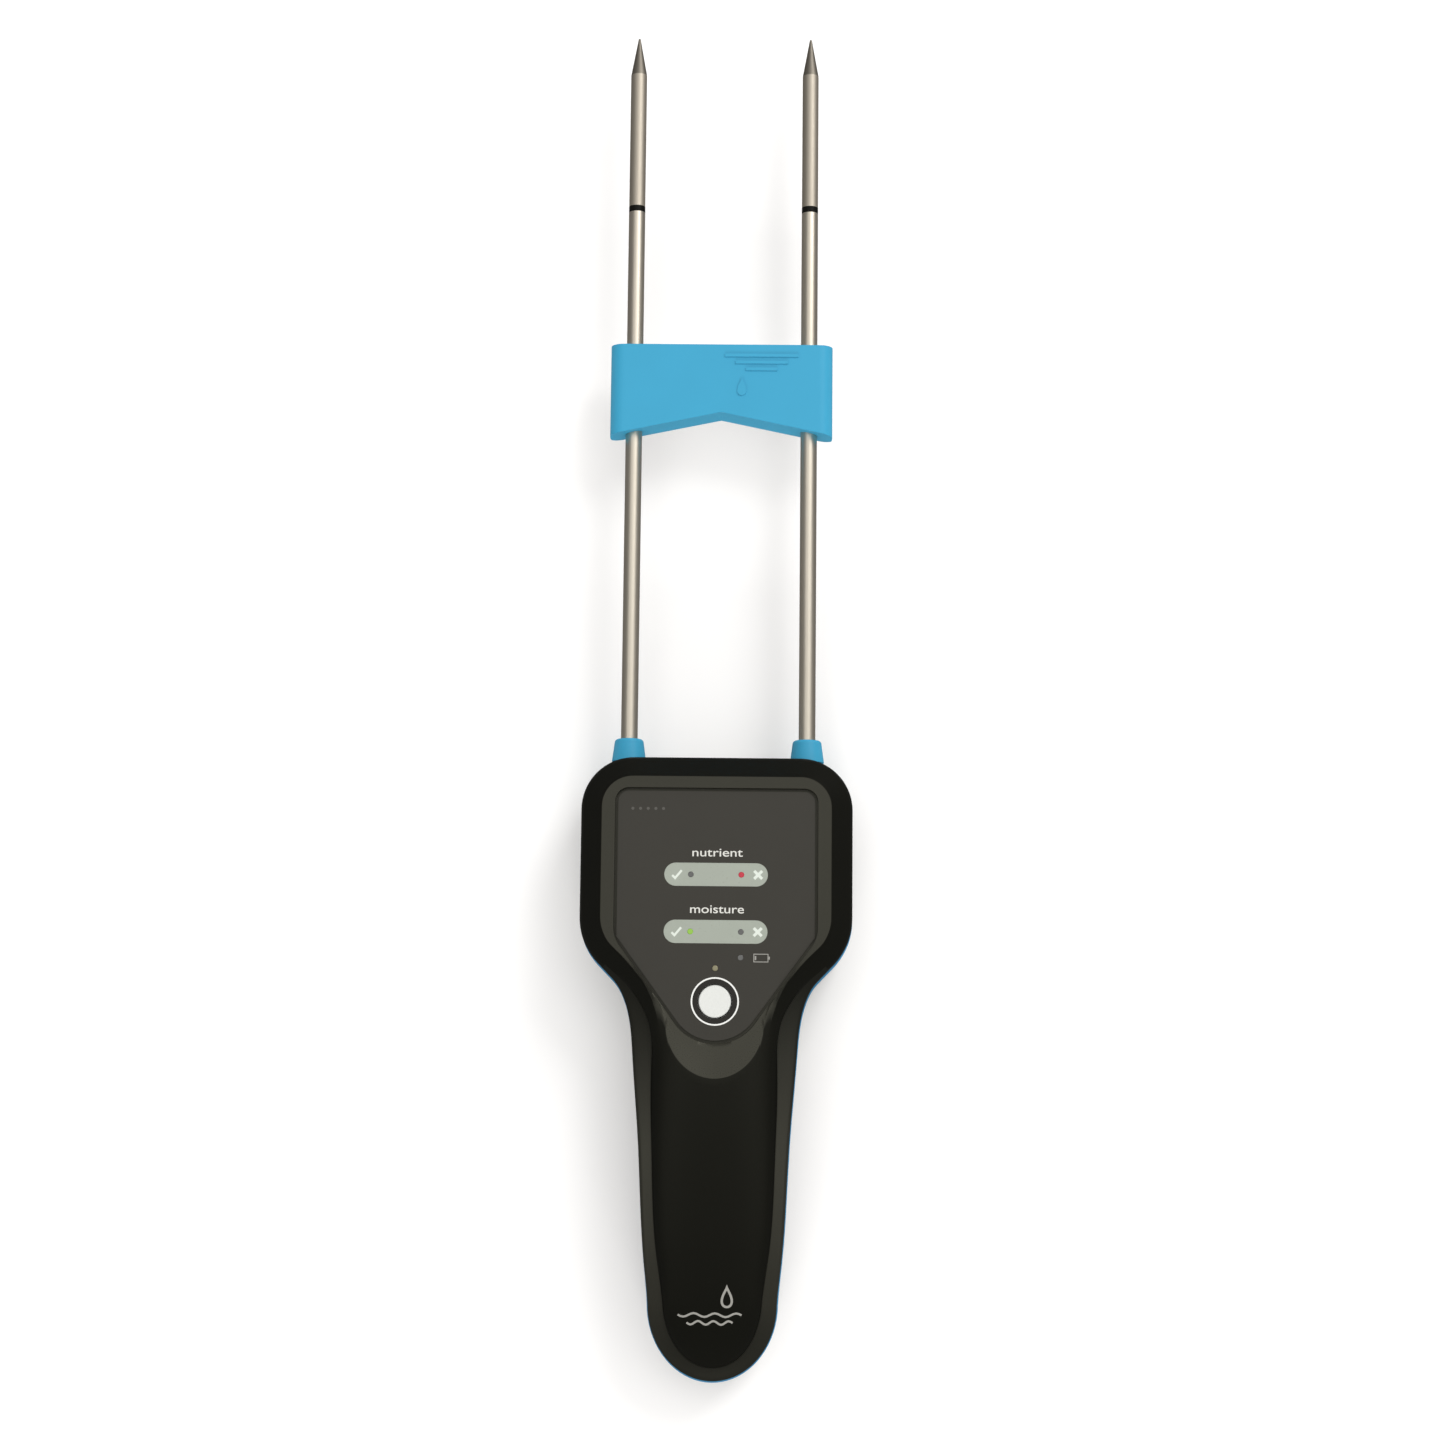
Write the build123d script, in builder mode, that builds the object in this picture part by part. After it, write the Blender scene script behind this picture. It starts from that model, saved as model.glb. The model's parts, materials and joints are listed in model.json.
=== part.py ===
"""Hand-held two-probe soil moisture sensor, lying on its back.

Frame: +X to the right of the face, +Y from the handle to the probe tips, +Z out of the face.
The origin is at the bottom centre of the whole object. All lengths are millimetres.
"Depth" means the distance below the head's top edge, towards the handle's end.
"""

from build123d import *

import os
from math import cos, radians, sin, tan

os.makedirs("parts", exist_ok=True)

# ---------------------------------------------------------------- driving dimensions
PROBE_REACH = 212.7  # head's top edge to probe tips
BODY_LENGTH = 169.7  # head's top edge to handle's end
BACK_LIP = 0.4  # the back housing stands this far outside the front one
OVERALL = PROBE_REACH + BODY_LENGTH + BACK_LIP
PROBE_PITCH = 50.0
PROBE_R = 2.35
TIP_R = 2.32  # the electrodes are ground a little thinner than the shafts
AXIS_Z = 15.0  # probe axes, and the housing's parting plane
HEAD_TOP = OVERALL / 2 - PROBE_REACH

HEAD_HALF = 37.5
HEAD_CORNER_R = 14.5
HIP_DEPTH, HIP_R, HIP_ANGLE, HIP_FLAT = 44.4, 18.0, 44.0, 6.0  # the head's lower corners
WALL = 2.4
BACK_WALL = 2.2
BACK_EDGE = [(4.5, 0.0), (2.25, 0.6), (0.6, 2.25), (0.0, 4.5)]  # its rounded back edge, as (inset, z)

FACE_Z = 32.0  # flat rim around the overlay
BEVEL_FOOT_Z, BEVEL_RISE, BEVEL_RUN = 26.1, 9.0, 9.1
OVERLAY_HALF = 27.0
OVERLAY_TOP = 10.0
OVERLAY_SLOPE = 36.3  # of its lower sides, in degrees from the Y axis
OVERLAY_TIP_R, OVERLAY_TIP_DEPTH = 12.7, 65.3  # of its round tip, and the depth of that arc's centre
OVERLAY_THICK = 0.8
OVERLAY_Z = 31.2
POCKET_GAP = 0.8
POCKET_FLOOR = OVERLAY_Z - OVERLAY_THICK
CEILING_Z = POCKET_FLOOR - 2.2
SCOOP_HALF, SCOOP_R, SCOOP_DEPTH = 14.2, 13.4, 74.8  # thumb scoop below the overlay's tip

WINDOW_LENGTH, WINDOW_WIDTH, WINDOW_FLANGE = 28.3, 6.35, 1.0
WINDOW_DEPTHS = {"nutrient": 32.9, "moisture": 48.5}
LED_R, LED_X = 0.8, 6.9
LED_BASE, LED_BASE_HEIGHT, LED_PROUD = 2.6, 1.2, 0.05
BATTERY_LED, POWER_LED = (6.85, 55.5), (0.0, 58.4)
BUTTON_DEPTH, BUTTON_R, BUTTON_GAP, BUTTON_TOP = 67.4, 4.4, 0.35, 31.7
BUTTON_FLANGE_R, BUTTON_FLANGE = 6.2, 1.0
BUTTON_TRAVEL = 0.5
PLUNGER_R, PLUNGER_CLEARANCE, SWITCH_HEIGHT = 1.2, 0.05, 1.6

PCB_TOP, PCB_THICK = 24.8, 1.6
PCB_BOTTOM = PCB_TOP - PCB_THICK
PCB_HALF, PCB_TAIL_HALF = 26.8, 10.4

COLLAR_BASE_R, COLLAR_TIP_R, COLLAR_RISE = 4.8, 3.95, 6.3
COLLAR_NECK_R, COLLAR_FLANGE_R, COLLAR_FLANGE = 4.3, 5.0, 2.0
COLLAR_SEAT = 3.4  # thickness of the housing where the collars clamp it
RING_SECTION_R = 0.6
BLOCK_END = 17.5

INSULATOR_START, INSULATOR_WIDTH = 160.0, 1.75  # above the head's top edge
SLEEVE_OVERLAP = 6.0
TUBE_BORE_R, SLEEVE_BORE_R = 1.65, 1.3
POINT_LENGTH, POINT_R = 11.2, 0.3
SHAFT_END = 18.5

GUIDE_WIDTH, GUIDE_HEIGHT, GUIDE_THICK, GUIDE_NOTCH = 63.4, 26.4, 10.0, 6.6
GUIDE_TOP = 119.6  # above the head's top edge
GUIDE_CORNER_R, GUIDE_CLEARANCE, GUIDE_WALL = 3.8, 0.05, 1.8

CELL_R, CELL_START, CELL_LENGTH, CELL_NUB = 5.25, 98.0, 44.0, 1.0
CELL_Z, CELL_X = 8.6, 5.45
WELL_TOP, WELL_END, WELL_HALF, WELL_ROOF, WELL_WALL = 94.5, 145.5, 11.6, 14.2, 1.5
DOOR_TOP, DOOR_END, DOOR_HALF, DOOR_THICK, DOOR_GAP = 90.8, 154.0, 13.4, 2.2, 0.15
DOOR_SCREW = (0.0, 149.7)
CONTACT_THICK, CONTACT_HEIGHT = 0.4, 7.0

SCREW_R, SCREW_CLEAR_R, SCREW_HEAD_R, SCREW_HEAD = 1.1, 1.35, 2.2, 1.8
CASE_BOSS_R, CASE_SEAT, CASE_SCREW_LENGTH = 3.3, 4.5, 15.0
CASE_SCREWS = [
    (30.6, 24.0), (-30.6, 24.0), (30.6, 42.5), (-30.6, 42.5), (15.2, 87.0), (-15.2, 87.0), (0.0, 160.9),
]
PCB_SCREWS = [(20.5, 14.0), (-20.5, 14.0), (20.5, 42.0), (-20.5, 42.0), (0.0, 81.0)]
BLOCK_SCREWS = [(14.0, 10.5), (-14.0, 10.5)]
SIDES = {"left": -1, "right": 1}

# Right-hand side lines down the handle, as (x, depth), and the round end each runs into.
BODY_SIDE = [(24.9, 66.9), (22.4, 82.3), (20.6, 104.8), (18.6, 138.0)]
BODY_END = (17.55, 149.0, BODY_LENGTH - 149.0)
CUSHION_SIDE = [(23.2, 66.8), (19.6, 74.2), (18.6, 85.6), (18.1, 112.0), (16.7, 131.2)]
CUSHION_END = (15.1, 145.7, 20.6)
# Heights of the face's centre line and of the handle's shoulders, as (depth, z).
CROWN = [(60, FACE_Z), (82, 33.7), (121, 31.4), (145, 27.6), (161, 22.2), (173, 13.5)]
SHOULDER = [(58, 24.5), (89, 28.2), (120, 26.8), (145, 23.4), (161, 19.3), (173, 13.0)]
CROWN_INSIDE = [(60, CEILING_Z), (82, 28.6), (121, 28.4), (145, 24.9), (161, 19.4), (173, 10.5)]


def station(depth):
    """Y of the section this far below the head's top edge."""
    return HEAD_TOP - depth


def at(x, depth):
    return (x, station(depth))


def spots(pairs):
    return [at(x, depth) for x, depth in pairs]


def save(part, name):
    part.label = name
    export_step(part, f"parts/{name}.step")


# ---------------------------------------------------------------- outlines seen from the front
def moved_in(points, before, after, inset):
    """Points of a side line, each moved inwards along the line's normal."""
    line = [before, *points, after]
    moved = []
    for previous, (x, depth), following in zip(line, points, line[2:]):
        along = Vector(following[0] - previous[0], following[1] - previous[1]).normalized()
        moved.append((x - along.Y * inset, depth + along.X * inset))
    return moved


def outline(side, end, inset=0.0):
    """Closed outline of the body, moved in: the eight-sided head, the handle's sides and its round end."""
    hip = radians(HIP_ANGLE)
    slope = Vector(-sin(hip), -cos(hip))
    outward = Vector(cos(hip), -sin(hip))
    hip_centre = Vector(*at(HEAD_HALF - HIP_R, HIP_DEPTH))
    hip_end = hip_centre + outward * (HIP_R - inset)
    neck = hip_end + slope * HIP_FLAT
    neck_true = neck + outward * inset
    end_half, end_depth, end_length = end
    points = moved_in(side, (neck_true.X, HEAD_TOP - neck_true.Y), (end_half, end_depth), inset)
    with BuildSketch() as sketch:
        with BuildLine():
            Line(at(0, inset), at(HEAD_HALF - HEAD_CORNER_R, inset))
            CenterArc(at(HEAD_HALF - HEAD_CORNER_R, HEAD_CORNER_R), HEAD_CORNER_R - inset, 90, -90)
            Line(at(HEAD_HALF - inset, HEAD_CORNER_R), at(HEAD_HALF - inset, HIP_DEPTH))
            CenterArc(hip_centre, HIP_R - inset, 0, -HIP_ANGLE)
            Line(hip_end, neck)
            Spline(neck, *spots(points), at(end_half - inset, end_depth), tangents=[slope, (-0.05, -1)],
                   tangent_scalars=[1, 1])
            EllipticalCenterArc(at(0, end_depth), end_half - inset, end_length - inset, -90, arc_size=90)
            mirror(about=Plane.YZ)
        make_face()
    return sketch.sketch


def body(inset=0.0):
    return outline(BODY_SIDE, BODY_END, inset)


def cushion(inset=0.0):
    return outline(CUSHION_SIDE, CUSHION_END, inset)


def overlay_outline(grow=0.0):
    """Overlay plate: square shoulders, sloping sides and a round tip around the button."""
    slope = radians(OVERLAY_SLOPE)
    tip_r = OVERLAY_TIP_R + grow
    half = OVERLAY_HALF + grow
    top = OVERLAY_TOP - grow
    tip = (tip_r * cos(slope), OVERLAY_TIP_DEPTH + tip_r * sin(slope))
    hip = tip[1] - (half - tip[0]) / tan(slope)
    with BuildSketch() as sketch:
        with BuildLine():
            Polyline(at(-tip[0], tip[1]), at(-half, hip), at(-half, top), at(half, top), at(half, hip),
                     at(tip[0], tip[1]))
            ThreePointArc(at(tip[0], tip[1]), at(0, OVERLAY_TIP_DEPTH + tip_r), at(-tip[0], tip[1]))
        make_face()
        shoulders = sketch.vertices().group_by(Axis.Y)[-1]
        hips = sketch.vertices().group_by(Axis.Y)[-2]
        fillet(shoulders, 3.0 + grow)
        fillet(hips, 8.0 + grow)
    return sketch.sketch


def pill(grow=0.0):
    with BuildSketch() as sketch:
        SlotOverall(WINDOW_LENGTH + 2 * grow, WINDOW_WIDTH + 2 * grow)
    return sketch.sketch


# ---------------------------------------------------------------- solids that the housings are cut from
def prism(sketch, low, high):
    with BuildPart() as solid:
        with BuildSketch(Plane.XY.offset(low)):
            add(sketch)
        extrude(amount=high - low)
    return solid.part


def under(profile, inset=0.0):
    """Everything below a line that is level over the head and then follows the profile down the handle."""
    line = [(station(depth), z - inset) for depth, z in profile]
    start, floor = (station(-10), line[0][1]), -20
    with BuildPart() as solid:
        with BuildSketch(Plane.YZ.offset(-60)):
            with BuildLine():
                Line(start, line[0])
                Spline(*line, tangents=[(-1, 0), (-0.5, -0.87)], tangent_scalars=[1, 1])
                Polyline(line[-1], (line[-1][0], floor), (start[0], floor), start)
            make_face()
        extrude(amount=120)
    return solid.part


def bosses(places, radius, low, high):
    with BuildPart() as solid:
        with BuildSketch(Plane.XY.offset(low)):
            with Locations(*spots(places)):
                Circle(radius)
        extrude(amount=high - low)
    return solid.part


def along_probe(side, start, end, radius, bore=0.0):
    """Cylinder or tube on a probe's axis, between two heights above the head's top edge."""
    origin = (side * PROBE_PITCH / 2, HEAD_TOP + start, AXIS_Z)
    with BuildPart() as solid:
        with BuildSketch(Plane(origin=origin, x_dir=(0, 0, 1), z_dir=(0, 1, 0))):
            Circle(radius)
            if bore:
                Circle(bore, mode=Mode.SUBTRACT)
        extrude(amount=end - start)
    return solid.part


COLLAR_HOLES = [along_probe(side, -COLLAR_SEAT - 0.3, 1, COLLAR_NECK_R) for side in SIDES.values()]
COLLAR_HOLES += [along_probe(side, -COLLAR_SEAT - 3, -COLLAR_SEAT, COLLAR_FLANGE_R)
                 for side in SIDES.values()]
COLLAR_HOLES += [along_probe(side, 0, 1, COLLAR_BASE_R + 0.1) for side in SIDES.values()]
COLLAR_PAD = COLLAR_FLANGE_R + 1.4
with BuildSketch() as collar_pads:
    with Locations(*spots([(side * PROBE_PITCH / 2, COLLAR_SEAT / 2) for side in SIDES.values()])):
        Rectangle(2 * COLLAR_PAD, COLLAR_SEAT)
    add(body(1), mode=Mode.INTERSECT)


# ---------------------------------------------------------------- front housing
with BuildPart() as flank:
    with BuildSketch(Plane.XY.offset(BEVEL_FOOT_Z)):
        add(cushion())
    with BuildSketch(Plane.XY.offset(BEVEL_FOOT_Z + BEVEL_RISE)):
        add(cushion(BEVEL_RUN))
    loft(ruled=True)

with BuildPart() as scoop:
    hip = SCOOP_DEPTH - 6
    for z, half, tip_r, centre in ((OVERLAY_Z - 0.2, 9.4, OVERLAY_TIP_R + POCKET_GAP, OVERLAY_TIP_DEPTH),
                                   (FACE_Z + 2.6, SCOOP_HALF, SCOOP_R + 0.6, SCOOP_DEPTH)):
        with BuildSketch(Plane.XY.offset(z)):
            with BuildLine():
                Line(at(half, 64.5), at(-half, 64.5))
                Line(at(-half, 64.5), at(-tip_r, centre))
                ThreePointArc(at(-tip_r, centre), at(0, centre + tip_r), at(tip_r, centre))
                Line(at(tip_r, centre), at(half, 64.5))
            make_face()
    loft(ruled=True)

with BuildPart() as front_housing:
    add(prism(cushion(), AXIS_Z, BEVEL_FOOT_Z))
    add(flank.part)
    add(under(CROWN), mode=Mode.INTERSECT)
    add(prism(body(), AXIS_Z, FACE_Z) & under(SHOULDER))
    add(prism(overlay_outline(POCKET_GAP), POCKET_FLOOR, FACE_Z + 4), mode=Mode.SUBTRACT)
    add(scoop.part, mode=Mode.SUBTRACT)
    add(prism(body(WALL), AXIS_Z - 1, FACE_Z) & under(SHOULDER, WALL), mode=Mode.SUBTRACT)
    add(prism(cushion(WALL + 5), AXIS_Z - 1, FACE_Z) & under(CROWN_INSIDE), mode=Mode.SUBTRACT)
    add(prism(collar_pads.sketch, AXIS_Z, AXIS_Z + COLLAR_PAD))
    add(bosses(CASE_SCREWS[:4], CASE_BOSS_R, AXIS_Z, 24.4))
    add(bosses(CASE_SCREWS[4:6], CASE_BOSS_R, AXIS_Z, 27.0))
    add(bosses(CASE_SCREWS[6:], CASE_BOSS_R, AXIS_Z, 20.4))
    add(bosses(PCB_SCREWS, 2.4, PCB_TOP, CEILING_Z + 0.6))
    add(bosses(CASE_SCREWS, SCREW_R, AXIS_Z, CASE_SEAT + CASE_SCREW_LENGTH), mode=Mode.SUBTRACT)
    add(bosses(PCB_SCREWS, 0.9, PCB_TOP, PCB_BOTTOM + 5.2), mode=Mode.SUBTRACT)
    for hole in COLLAR_HOLES:
        add(hole, mode=Mode.SUBTRACT)
    for depth in WINDOW_DEPTHS.values():
        add(Pos(0, station(depth)) * prism(pill(), CEILING_Z - 1, FACE_Z), mode=Mode.SUBTRACT)
    add(bosses([BATTERY_LED, POWER_LED], LED_R + 0.3, CEILING_Z - 1, FACE_Z), mode=Mode.SUBTRACT)
    add(bosses([(0, BUTTON_DEPTH)], BUTTON_R + BUTTON_GAP, CEILING_Z - 1, FACE_Z), mode=Mode.SUBTRACT)
save(front_housing.part, "front_housing")

# ---------------------------------------------------------------- back housing, its seal and the battery door
with BuildPart() as back_form:
    for inset, z in BACK_EDGE:
        with BuildSketch(Plane.XY.offset(z)):
            add(body(inset - BACK_LIP))
    loft(ruled=True)
    add(prism(body(-BACK_LIP), BACK_EDGE[-1][1], AXIS_Z))

with BuildPart() as back_housing:
    add(back_form.part)
    add(prism(body(BACK_WALL - BACK_LIP), BACK_WALL, AXIS_Z + 1), mode=Mode.SUBTRACT)
    with BuildSketch(Plane.XY):
        with Locations(at(0, (DOOR_TOP + DOOR_END) / 2)):
            RectangleRounded(2 * DOOR_HALF + 4, DOOR_END - DOOR_TOP + 4, 5)
        add(body(BACK_EDGE[0][0]), mode=Mode.INTERSECT)
    extrude(amount=2 * BACK_WALL)
    with BuildSketch(Plane.XY.offset(BACK_WALL)):
        with Locations(at(0, (WELL_TOP + WELL_END) / 2)):
            Rectangle(2 * (WELL_HALF + WELL_WALL), WELL_END - WELL_TOP + 2 * WELL_WALL)
        add(body(0.6), mode=Mode.INTERSECT)
    extrude(amount=WELL_ROOF + WELL_WALL - BACK_WALL)
    add(prism(collar_pads.sketch, AXIS_Z - COLLAR_PAD, AXIS_Z))
    add(bosses(CASE_SCREWS, CASE_BOSS_R, 0.6, AXIS_Z))
    add(bosses(BLOCK_SCREWS, 3.0, BACK_WALL, AXIS_Z - 5.4))
    add(bosses([DOOR_SCREW], 3.2, BACK_WALL, 9.0))
    with BuildSketch(Plane.XY.offset(-1)):
        with Locations(at(0, (WELL_TOP + WELL_END) / 2)):
            Rectangle(2 * WELL_HALF, WELL_END - WELL_TOP)
    extrude(amount=WELL_ROOF + 1, mode=Mode.SUBTRACT)
    with BuildSketch(Plane.XY.offset(-1)):
        with Locations(at(0, (DOOR_TOP + DOOR_END) / 2)):
            RectangleRounded(2 * DOOR_HALF, DOOR_END - DOOR_TOP, 4)
    extrude(amount=DOOR_THICK + 1, mode=Mode.SUBTRACT)
    with BuildSketch(Plane.XY.offset(DOOR_THICK)) as seal_groove:
        with Locations(at(0, (WELL_TOP + WELL_END) / 2)):
            RectangleRounded(2 * WELL_HALF + 2.6, WELL_END - WELL_TOP + 2.6, 1.4)
            RectangleRounded(2 * WELL_HALF + 1.0, WELL_END - WELL_TOP + 1.0, 0.6, mode=Mode.SUBTRACT)
    extrude(amount=1.0, mode=Mode.SUBTRACT)
    with BuildSketch(Plane.XY.offset(AXIS_Z - 0.8)) as rim_groove:
        add(body(0.35))
        add(body(1.15), mode=Mode.SUBTRACT)
    extrude(amount=2, mode=Mode.SUBTRACT)
    add(bosses(CASE_SCREWS, SCREW_HEAD_R + 0.3, -1, CASE_SEAT), mode=Mode.SUBTRACT)
    add(bosses(CASE_SCREWS, SCREW_CLEAR_R, 0, AXIS_Z + 1), mode=Mode.SUBTRACT)
    add(bosses(BLOCK_SCREWS, SCREW_R, AXIS_Z - 11.4, AXIS_Z), mode=Mode.SUBTRACT)
    add(bosses([DOOR_SCREW], 2.1, 2, 8.2), mode=Mode.SUBTRACT)
    for x in (-CELL_X, CELL_X):
        with BuildSketch(Plane.XY.offset(WELL_ROOF - 1)):
            with Locations(at(x, WELL_TOP + CONTACT_THICK / 2)):
                Rectangle(3.0, CONTACT_THICK)
        extrude(amount=WELL_WALL + 2, mode=Mode.SUBTRACT)
    for hole in COLLAR_HOLES:
        add(hole, mode=Mode.SUBTRACT)
save(back_housing.part, "back_housing")

with BuildPart() as housing_seal:
    add(prism(rim_groove.sketch, AXIS_Z - 0.8, AXIS_Z))
    for hole in COLLAR_HOLES:
        add(hole, mode=Mode.SUBTRACT)
save(housing_seal.part, "housing_seal")

with BuildPart() as battery_door:
    with BuildSketch():
        with Locations(at(0, (DOOR_TOP + DOOR_END) / 2)):
            RectangleRounded(2 * (DOOR_HALF - DOOR_GAP), DOOR_END - DOOR_TOP - 2 * DOOR_GAP, 4 - DOOR_GAP)
    extrude(amount=DOOR_THICK)
    chamfer(battery_door.faces().sort_by(Axis.Z)[0].edges(), 0.4)
    add(back_form.part, mode=Mode.INTERSECT)
    add(bosses([DOOR_SCREW], SCREW_HEAD_R + 0.3, -1, 1.2), mode=Mode.SUBTRACT)
    add(bosses([DOOR_SCREW], SCREW_CLEAR_R, 0, DOOR_THICK), mode=Mode.SUBTRACT)
    for i in range(5):
        with BuildSketch():
            with Locations(at(0, DOOR_TOP + 5.5 + 2.2 * i)):
                SlotOverall(14 - 1.6 * abs(i - 2), 1.0)
        extrude(amount=0.5, mode=Mode.SUBTRACT)
save(battery_door.part, "battery_door")

with BuildPart() as door_seal:
    add(prism(seal_groove.sketch, DOOR_THICK, DOOR_THICK + 1.0))
save(door_seal.part, "door_seal")

with BuildPart() as door_insert:
    add(bosses([DOOR_SCREW], 2.1, DOOR_THICK, 8.2))
    add(bosses([DOOR_SCREW], SCREW_R, 0, 7.8), mode=Mode.SUBTRACT)
save(door_insert.part, "door_insert")


# ---------------------------------------------------------------- screws
def screws(name, places, seat, length, up=True, head_r=SCREW_HEAD_R, head=SCREW_HEAD, shank_r=SCREW_R):
    """Pan-head screws with their heads on the seat plane and their shanks pointing up or down."""
    way = 1 if up else -1
    with BuildPart() as group:
        with BuildSketch(Plane.XY.offset(seat)):
            with Locations(*spots(places)):
                Circle(shank_r)
        extrude(amount=way * length)
        with BuildSketch(Plane.XY.offset(seat)):
            with Locations(*spots(places)):
                Circle(head_r)
        extrude(amount=-way * head)
        with BuildSketch(Plane.XY.offset(seat - way * head)):
            with Locations(*spots(places)):
                Rectangle(1.3 * head_r, 0.5)
                Rectangle(0.5, 1.3 * head_r)
        extrude(amount=way * 0.5 * head, mode=Mode.SUBTRACT)
    save(group.part, name)


screws("case_screws", CASE_SCREWS, CASE_SEAT, CASE_SCREW_LENGTH - 0.3)
screws("pcb_screws", PCB_SCREWS, PCB_BOTTOM, 5.0, head_r=1.8, head=1.2, shank_r=0.9)
screws("block_screws", BLOCK_SCREWS, AXIS_Z + 5.6, 16.5, up=False)
screws("door_screw", [DOOR_SCREW], 1.2, 6.4, head=0.9)

# ---------------------------------------------------------------- face: overlay, windows, lights and button
with BuildPart() as face_overlay:
    add(prism(overlay_outline(), POCKET_FLOOR, OVERLAY_Z))
    for depth in WINDOW_DEPTHS.values():
        add(Pos(0, station(depth)) * prism(pill(), 0, FACE_Z), mode=Mode.SUBTRACT)
    add(bosses([BATTERY_LED, POWER_LED], LED_R, 0, FACE_Z), mode=Mode.SUBTRACT)
    add(bosses([(0, BUTTON_DEPTH)], BUTTON_R + BUTTON_GAP, 0, FACE_Z), mode=Mode.SUBTRACT)
save(face_overlay.part, "face_overlay")

for name, depth in WINDOW_DEPTHS.items():
    with BuildPart() as window:
        add(Pos(0, station(depth)) * prism(pill(), CEILING_Z, OVERLAY_Z))
        add(Pos(0, station(depth)) * prism(pill(WINDOW_FLANGE), CEILING_Z - 0.8, CEILING_Z))
        add(bosses([(-LED_X, depth), (LED_X, depth)], LED_R, 0, FACE_Z), mode=Mode.SUBTRACT)
    save(window.part, f"{name}_window")

LIGHTS = {"battery_led": BATTERY_LED, "power_led": POWER_LED}
for name, depth in WINDOW_DEPTHS.items():
    LIGHTS[f"{name}_pass_led"] = (-LED_X, depth)
    LIGHTS[f"{name}_fail_led"] = (LED_X, depth)

for name, place in LIGHTS.items():
    with BuildPart() as led:
        with BuildSketch(Plane.XY.offset(PCB_TOP)):
            with Locations(at(*place)):
                Rectangle(LED_BASE, LED_BASE)
        extrude(amount=LED_BASE_HEIGHT)
        add(bosses([place], LED_R, PCB_TOP, OVERLAY_Z + LED_PROUD))
        fillet(led.faces().sort_by(Axis.Z)[-1].edges(), 0.2)
    save(led.part, name)

with BuildPart() as power_button:
    add(bosses([(0, BUTTON_DEPTH)], BUTTON_R, CEILING_Z, BUTTON_TOP))
    fillet(power_button.faces().sort_by(Axis.Z)[-1].edges(), 0.4)
    add(bosses([(0, BUTTON_DEPTH)], BUTTON_FLANGE_R, CEILING_Z - BUTTON_FLANGE, CEILING_Z))
save(power_button.part, "power_button")

button_underside = CEILING_Z - BUTTON_FLANGE
with BuildPart() as switch_plunger:
    add(bosses([(0, BUTTON_DEPTH)], PLUNGER_R, PCB_TOP + BUTTON_TRAVEL + 0.3, button_underside))
save(switch_plunger.part, "switch_plunger")

with BuildPart() as power_switch:
    with BuildSketch(Plane.XY.offset(PCB_TOP)):
        with Locations(at(0, BUTTON_DEPTH)):
            RectangleRounded(6, 6, 0.5)
    extrude(amount=SWITCH_HEIGHT)
    add(bosses([(0, BUTTON_DEPTH)], PLUNGER_R + PLUNGER_CLEARANCE, PCB_TOP + 0.2, 40), mode=Mode.SUBTRACT)
save(power_switch.part, "power_switch")

# ---------------------------------------------------------------- circuit board and what it carries
with BuildPart() as main_pcb:
    with BuildSketch(Plane.XY.offset(PCB_BOTTOM)) as board:
        with BuildLine():
            right = spots([(PCB_HALF, 9.5), (PCB_HALF, 45), (PCB_TAIL_HALF, 68), (PCB_TAIL_HALF, 85)])
            Polyline(*right, *[(-x, y) for x, y in reversed(right)], close=True)
        make_face()
        fillet(board.vertices(), 2.0)
        with Locations(*spots(PCB_SCREWS)):
            Circle(1.1, mode=Mode.SUBTRACT)
    extrude(amount=PCB_THICK)
save(main_pcb.part, "main_pcb")

with BuildPart() as microcontroller:
    with BuildSketch(Plane.XY.offset(PCB_TOP)):
        with Locations(at(-13, 22)):
            RectangleRounded(7, 7, 0.3)
    extrude(amount=0.9)
    chamfer(microcontroller.faces().sort_by(Axis.Z)[-1].edges(), 0.15)
save(microcontroller.part, "microcontroller")

with BuildPart() as radio_module:
    with BuildSketch(Plane.XY.offset(PCB_TOP)):
        with Locations(at(8, 20)):
            Rectangle(15, 11)
    extrude(amount=0.6)
    with BuildSketch(Plane.XY.offset(PCB_TOP + 0.6)):
        with Locations(at(6, 20)):
            RectangleRounded(10, 9.6, 0.5)
    extrude(amount=1.4)
save(radio_module.part, "radio_module")


# ---------------------------------------------------------------- probes
def lead(name, points, radius, bend):
    """Wire of straight runs joined by tangent arcs."""
    with BuildPart() as wire:
        with BuildLine() as path:
            FilletPolyline(*points, radius=bend)
        with BuildSketch(Plane(origin=path.line @ 0, z_dir=path.line % 0)):
            Circle(radius)
        sweep()
    save(wire.part, name)


with BuildPart() as probe_block:
    with BuildSketch(Plane.XY.offset(AXIS_Z - 5.4)):
        with Locations(at(0, (COLLAR_SEAT + COLLAR_FLANGE + BLOCK_END) / 2)):
            RectangleRounded(60, BLOCK_END - COLLAR_SEAT - COLLAR_FLANGE, 2)
    extrude(amount=11)
    for side in SIDES.values():
        add(along_probe(side, -30, 10, PROBE_R), mode=Mode.SUBTRACT)
    add(bosses(BLOCK_SCREWS, SCREW_R, 0, 40), mode=Mode.SUBTRACT)
save(probe_block.part, "probe_block")

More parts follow.
